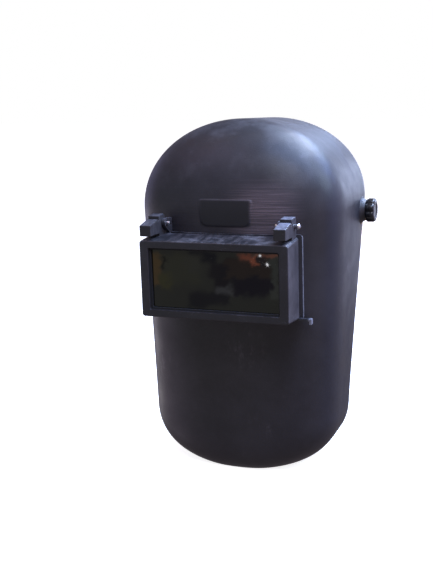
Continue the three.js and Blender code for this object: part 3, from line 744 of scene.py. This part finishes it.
filter_paint = Paint("filter_glass")
film = filter_paint.span(filter_paint.noise(24, 6, 0.6), 0.35, 0.75, 0.02, 0.06)
deep = filter_paint.blend(filter_paint.span(filter_paint.noise(16, 2), 0.3, 0.7),
                          (0.0042, 0.0046, 0.0030, 1), (0.0065, 0.0068, 0.0045, 1))
filter_glass = filter_paint.finish(deep, film, None, IOR=1.52)
glass_piece = dressed_node("filter_glass", "filter_plate", 0.0003)
fit(glass_piece, filter_glass, "filter_glass", "lens_flip")

# Glass retainer
# The plain moulded frame pressed in behind the filter, of the same plastic as the box. It is
# seen only when the box is flipped up.

retainer_piece = dressed_node("glass_retainer", "retainer_frame", 0.0004)
fit(retainer_piece, frame_plastic, "glass_retainer", "lens_flip")

# Hinge pins
# Two bright turned steel pins, pushed through the fixed lugs and the arms, with a head and a
# domed end outside.

steel_paint = Paint("steel")
brushed = steel_paint.noise(900, 2, stretch=(0.08, 1, 1))
tarnish = steel_paint.span(steel_paint.noise(500, 3), 0.45, 0.7)
steel = steel_paint.finish(steel_paint.blend(tarnish, (0.74, 0.74, 0.76, 1), (0.46, 0.45, 0.46, 1)),
                           steel_paint.span(brushed, 0.3, 0.7, 0.16, 0.30),
                           steel_paint.relief(brushed, 0.00003, 0.4), Metallic=1.0)
PIN_INSIDE = 0.0460                     # inner end, past the lug
PIN_PROFILE = [(PIN_INSIDE, 0.0007), (PIN_INSIDE + 0.00015, 0.0012), (PIN_INSIDE + 0.0005, 0.0016),
               (ARM_OUT + 0.0003, 0.0016), (ARM_OUT + 0.00035, 0.00195), (ARM_OUT + 0.0005, 0.00205),
               (ARM_OUT + 0.0022, 0.00205), (ARM_OUT + 0.0025, 0.0023), (ARM_OUT + 0.0027, 0.0025),
               (ARM_OUT + 0.0033, 0.0025), (ARM_OUT + 0.0039, 0.0022), (ARM_OUT + 0.0044, 0.0017),
               (ARM_OUT + 0.0047, 0.0012), (ARM_OUT + 0.0049, 0.0005)]
for side, which in ((-1, "right"), (1, "left")):
    pin = lathe("hinge_pin_" + which + "_steel", PIN_PROFILE, 0, side, PIN_Y, PIN_Z, 32)
    shade(pin, 40)
    fit(pin, steel, "hinge_pin_" + which, "helmet")

# Headgear
# The parts that hold the helmet on the head: a closed headband, a strap over the crown and
# an arm at each side, whose stud passes through the shell. Plain black plastic.

band_plastic = worn_black("band_plastic", (0.016, 0.016, 0.018, 1), (0.024, 0.024, 0.027, 1),
                          (0.22, 0.21, 0.21, 1), dust=0.30, roughness=0.50, grain_scale=1300,
                          grain_depth=0.00009)
for node in ("headband", "crown_strap", "side_arm_left", "side_arm_right"):
    piece = dressed_node(node, node + "_dressed", 0.0004, 2, 40)
    fit(piece, band_plastic, node, "headgear")

# Rear adjuster
# The housing that joins the headband's ends at the back, with its wheel, moulded in plain
# black plastic and left as one piece.

adjuster_piece = dressed_node("rear_adjuster", "adjuster_dressed", 0.0006, 3, 40)
fit(adjuster_piece, band_plastic, "rear_adjuster", "headgear")

# Tilt knobs
# Lobed knobs of glossy black plastic, screwed on the studs outside the shell's bosses. They
# clamp the headgear's tilt.

KNOB_RADIUS, GRIP_FOOT = 0.01075, 0.0062
LOBES, LOBE_DEPTH = 8, 0.0013
knob_plastic = worn_black("knob_plastic", (0.006, 0.006, 0.007, 1), (0.011, 0.011, 0.013, 1),
                          (0.16, 0.16, 0.17, 1), dust=0.22, roughness=0.16, grain_scale=1400,
                          grain_depth=0.00003)


def lobed(radius, turn):
    """The grip's lobes, which fade out towards the middle."""
    share = max(0.0, (radius - GRIP_FOOT) / (KNOB_RADIUS - GRIP_FOOT))
    return radius - LOBE_DEPTH * share * (0.5 + 0.5 * math.cos(LOBES * turn)) ** 2


KNOB_PROFILE = [(0.0050, 0.0010), (0.0051, STUD_HOLE_RADIUS), (0.0, STUD_HOLE_RADIUS), (0.0, 0.0092),
                (0.0002, 0.0100), (0.0007, 0.01058), (0.0013, KNOB_RADIUS), (0.0058, 0.01070),
                (0.0066, 0.0105), (0.0071, 0.0100), (0.0074, 0.0093), (0.0076, 0.0083),
                (0.0076, 0.0066), (0.0074, 0.0063), (0.0071, 0.0061), (0.0070, 0.0050),
                (0.0070, 0.0010)]
for side, which in ((-1, "right"), (1, "left")):
    knob = lathe("tilt_knob_" + which + "_dressed", KNOB_PROFILE, side * (BOSS_FACE + 0.0003), side,
                 PIVOT_Y, PIVOT_Z, 192, lobed)
    shade(knob, 35)
    fit(knob, knob_plastic, "tilt_knob_" + which, "knob_" + which)

# Floor
# A plain pale floor for the helmet to stand on, white to the camera. It throws no light or
# shadow on the helmet, and isn't mirrored in it.


def plain_sheet(name, half_wide, half_deep):
    """A flat sheet with four corners, level until it is turned."""
    corners = [(-half_wide, -half_deep, 0), (half_wide, -half_deep, 0),
               (half_wide, half_deep, 0), (-half_wide, half_deep, 0)]
    mesh = bpy.data.meshes.new(name)
    mesh.from_pydata(corners, [], [(0, 1, 2, 3)])
    sheet = bpy.data.objects.new(name, mesh)
    bpy.context.scene.collection.objects.link(sheet)
    return sheet


floor = plain_sheet("floor", 6, 6)
floor.location.z = -0.0002
pale_floor = Paint("pale_floor").finish((0.80, 0.80, 0.81, 1), 0.8, Emission_Color=(1, 1, 1, 1),
                                        Emission_Strength=0.86)
floor.data.materials.append(pale_floor)
floor.visible_diffuse = floor.visible_glossy = floor.visible_shadow = False

# Surround and lights
# A white surround is seen, but little of it lights the helmet, so that black stays black.
# Square soft lights stand all round it.

world = bpy.context.scene.world or bpy.data.worlds.new("surround")
bpy.context.scene.world = world
world.use_nodes = True
surround = world.node_tree.nodes["Background"]
seen = world.node_tree.nodes.new("ShaderNodeLightPath").outputs["Is Camera Ray"]
shown = world.node_tree.nodes.new("ShaderNodeMix")
shown.data_type = "RGBA"
ambient, white = [socket for socket in shown.inputs if socket.type == "RGBA"]
ambient.default_value = (0.260, 0.228, 0.257, 1)
white.default_value = (1, 1, 1, 1)
world.node_tree.links.new(seen, shown.inputs["Factor"])
world.node_tree.links.new(next(socket for socket in shown.outputs if socket.type == "RGBA"),
                          surround.inputs["Color"])
surround.inputs["Strength"].default_value = 1.0

# Rows are the direction round from the front and up, in degrees, then size, power and colour.
# The strong bluish ones stand behind and above the +X side, and draw the dome's highlight.
SOFT_LIGHTS = [(-70, -25, 0.80, 1.44, (0.91, 0.77, 1.00)),
               (-110, 5, 0.90, 1.73, (0.45, 0.47, 1.00)),
               (-106, -16, 0.60, 1.60, (1.00, 0.93, 1.00)),
               (-50, 5, 0.90, 0.30, (0.00, 0.88, 1.00)),
               (60, 5, 0.90, 1.56, (0.99, 0.81, 1.00)),
               (105, 5, 0.90, 1.80, (0.38, 0.37, 1.00)),
               (140, 5, 0.90, 1.30, (0.65, 0.63, 1.00)),
               (166, 5, 0.30, 1.35, (0.60, 0.72, 1.00)),
               (146, 14, 0.30, 1.10, (0.55, 0.68, 1.00)),
               (180, 5, 0.90, 2.46, (0.63, 0.72, 1.00)),
               (100, 32, 0.60, 7.63, (0.58, 0.75, 1.00)),
               (130, 36, 0.30, 6.00, (0.28, 0.42, 1.00)),
               (150, 38, 0.30, 2.20, (0.53, 0.80, 1.00)),
               (162, 39, 0.30, 8.60, (0.47, 0.62, 1.00)),
               (-95, 48, 0.40, 0.23, (1.00, 0.47, 0.43)),
               (-40, 48, 0.40, 0.94, (1.00, 0.68, 0.99)),
               (20, 48, 0.40, 5.94, (0.85, 0.87, 1.00)),
               (70, 48, 0.40, 4.90, (0.43, 0.58, 1.00)),
               (135, 52, 0.30, 2.28, (0.56, 0.71, 1.00)),
               (152, 52, 0.30, 7.44, (0.75, 0.77, 1.00)),
               (-60, 66, 0.42, 0.38, (1.00, 0.57, 0.00)),
               (30, 66, 0.42, 4.64, (0.07, 0.33, 1.00)),
               (100, 66, 0.42, 13.89, (0.49, 0.62, 1.00)),
               (140, 66, 0.42, 6.53, (0.51, 0.76, 1.00)),
               (20, 82, 0.50, 1.90, (0.89, 0.89, 1.00)),
               (186, -12, 0.35, 2.20, (1.00, 0.53, 0.28))]
LIT_POINT = Vector((0, -0.05, 0.17))
LIGHT_DISTANCE = 1.3
for number, (around, upward, size, power, colour) in enumerate(SOFT_LIGHTS):
    turn, rise = math.radians(around), math.radians(upward)
    level = math.cos(rise)
    away = Vector((math.sin(turn) * level, -math.cos(turn) * level, math.sin(rise)))
    light = bpy.data.lights.new("soft_light_%02d" % number, "AREA")
    light.shape = "SQUARE"
    light.size, light.energy, light.color = size, power, colour
    lamp = bpy.data.objects.new(light.name, light)
    bpy.context.scene.collection.objects.link(lamp)
    lamp.location = LIT_POINT + away * LIGHT_DISTANCE
    lamp.rotation_mode = "QUATERNION"
    lamp.rotation_quaternion = (-away).to_track_quat("-Z", "Y")
    lamp.visible_camera = False

# Reflection card
# A dim mottled card in front of the glass, seen only in reflections, so that the black
# filter has some depth and a few glints.

CARD_PLACE = Vector((-0.2200, -0.6711, 0.0575))
card_across = Vector((-0.9275, 0.3739, 0))
card_up = Vector((-0.0756, -0.1876, 0.9793))
card_axes = Matrix((card_across, card_up, card_across.cross(card_up))).transposed()
card = plain_sheet("reflection_card", 0.30, 0.22)
card.location = CARD_PLACE
card.rotation_mode = "QUATERNION"
card.rotation_quaternion = card_axes.to_quaternion()
card.visible_camera = card.visible_diffuse = card.visible_shadow = False
card_paint = Paint("reflected_mottle")
warp = card_paint.noise(34, 5, 0.65)
other_warp = card_paint.noise(41, 5, 0.65, turn=(0.4, 0.9, 0.2))
card_x, card_y = card_paint.axis("X"), card_paint.axis("Y")
warped_x = card_paint.plus(card_x, card_paint.span(warp, 0.2, 0.8, -0.010, 0.010))
warped_y = card_paint.plus(card_y, card_paint.span(other_warp, 0.2, 0.8, -0.007, 0.007))

# Rows are soft patches: their middle across and up, their half sizes, softness and colour
CARD_PATCHES = [(0.055, 0.014, 0.036, 0.022, 0.007, (0.36, 0.36, 0.30)),
                (0.084, 0.012, 0.009, 0.024, 0.004, (0.74, 0.50, 0.28)),
                (0.070, -0.004, 0.009, 0.010, 0.005, (0.46, 0.44, 0.26)),
                (0.070, 0.024, 0.003, 0.010, 0.002, (0.14, 0.14, 0.15)),
                (0.012, 0.030, 0.018, 0.008, 0.003, (0.10, 0.10, 0.16)),
                (0.028, 0.020, 0.010, 0.012, 0.004, (0.36, 0.36, 0.33)),
                (-0.012, 0.004, 0.016, 0.020, 0.005, (0.14, 0.12, 0.17)),
                (-0.048, 0.010, 0.032, 0.013, 0.004, (0.27, 0.20, 0.20)),
                (-0.056, -0.014, 0.028, 0.013, 0.004, (0.13, 0.11, 0.18)),
                (0.010, -0.032, 0.030, 0.010, 0.005, (0.15, 0.14, 0.19)),
                (-0.014, -0.020, 0.013, 0.006, 0.004, (0.50, 0.50, 0.58)),
                (-0.088, -0.004, 0.005, 0.034, 0.003, (0.42, 0.45, 0.44)),
                (-0.045, 0.0270, 0.010, 0.0030, 0.003, (1.90, 0.62, 0.42)),
                (-0.056, 0.0205, 0.006, 0.0035, 0.002, (2.20, 0.70, 0.45)),
                (-0.062, 0.0265, 0.004, 0.0025, 0.002, (1.50, 0.80, 0.65)),
                (-0.080, 0.0250, 0.012, 0.0030, 0.002, (1.50, 0.66, 0.50)),
                (-0.070, 0.0195, 0.006, 0.0050, 0.002, (0.24, 0.20, 0.24))]
mottle = (0.30, 0.30, 0.29, 1)
for across, height, half_across, half_up, soft, colour in CARD_PATCHES:
    past_side = card_paint.less(card_paint.size_of(card_paint.less(warped_x, across)), half_across)
    past_top = card_paint.less(card_paint.size_of(card_paint.less(warped_y, height)), half_up)
    outside = card_paint.larger(past_side, past_top)
    mottle = card_paint.blend(card_paint.span(outside, -soft, soft, 1, 0), mottle, colour + (1,))
for across, height in ((-0.0665, 0.0285), (-0.0761, 0.0162), (-0.0770, 0.0145)):
    run = card_paint.reckon("POWER", card_paint.less(card_x, across), 2)
    climb = card_paint.reckon("POWER", card_paint.less(card_y, height), 2)
    apart = card_paint.reckon("SQRT", card_paint.plus(run, climb))
    mottle = card_paint.blend(card_paint.span(apart, 0.0009, 0.0020, 1, 0), mottle, (16, 16, 17, 1))
card.data.materials.append(card_paint.finish((0, 0, 0, 1), 1.0, Specular_IOR_Level=0.0,
                                             Emission_Strength=1.0))
card_paint.join(mottle, card_paint.shader.inputs["Emission Color"])

# Camera
# It looks at the helmet from the photo's angle. Lengths with PIXELS in their names are
# pixels of a picture 433 wide and 577 high.

AZIMUTH, ELEVATION, ROLL = 22.079, 11.994, -1.813
DISTANCE = 0.7815
TARGET = Vector((0, -0.1313, 0.1753))
FOCAL_PIXELS, HEIGHT_PIXELS = 971.378, 577
SHIFT_PIXELS = (4.407, -5.894)
SENSOR = 36.0
turn, tilt, lean = (math.radians(angle) for angle in (AZIMUTH, ELEVATION, ROLL))
forward = Vector((-math.sin(turn) * math.cos(tilt), math.cos(turn) * math.cos(tilt), -math.sin(tilt)))
level_right = Vector((math.cos(turn), math.sin(turn), 0))
level_up = level_right.cross(forward)
right = level_right * math.cos(lean) + level_up * math.sin(lean)
above = level_up * math.cos(lean) - level_right * math.sin(lean)
camera_data = bpy.data.cameras.new("camera")
camera = bpy.data.objects.new("camera", camera_data)
bpy.context.scene.collection.objects.link(camera)
camera_data.sensor_fit = "VERTICAL"
camera_data.sensor_width = camera_data.sensor_height = SENSOR
camera_data.lens = SENSOR * FOCAL_PIXELS / HEIGHT_PIXELS
camera_data.shift_x, camera_data.shift_y = (pixels / HEIGHT_PIXELS for pixels in SHIFT_PIXELS)
camera_data.clip_start = 0.02
camera_data.clip_end = 50
camera.location = TARGET - forward * DISTANCE
camera.rotation_mode = "QUATERNION"
camera.rotation_quaternion = Matrix((right, above, -forward)).transposed().to_quaternion()
bpy.context.scene.camera = camera
bpy.context.scene.view_settings.view_transform = "Standard"
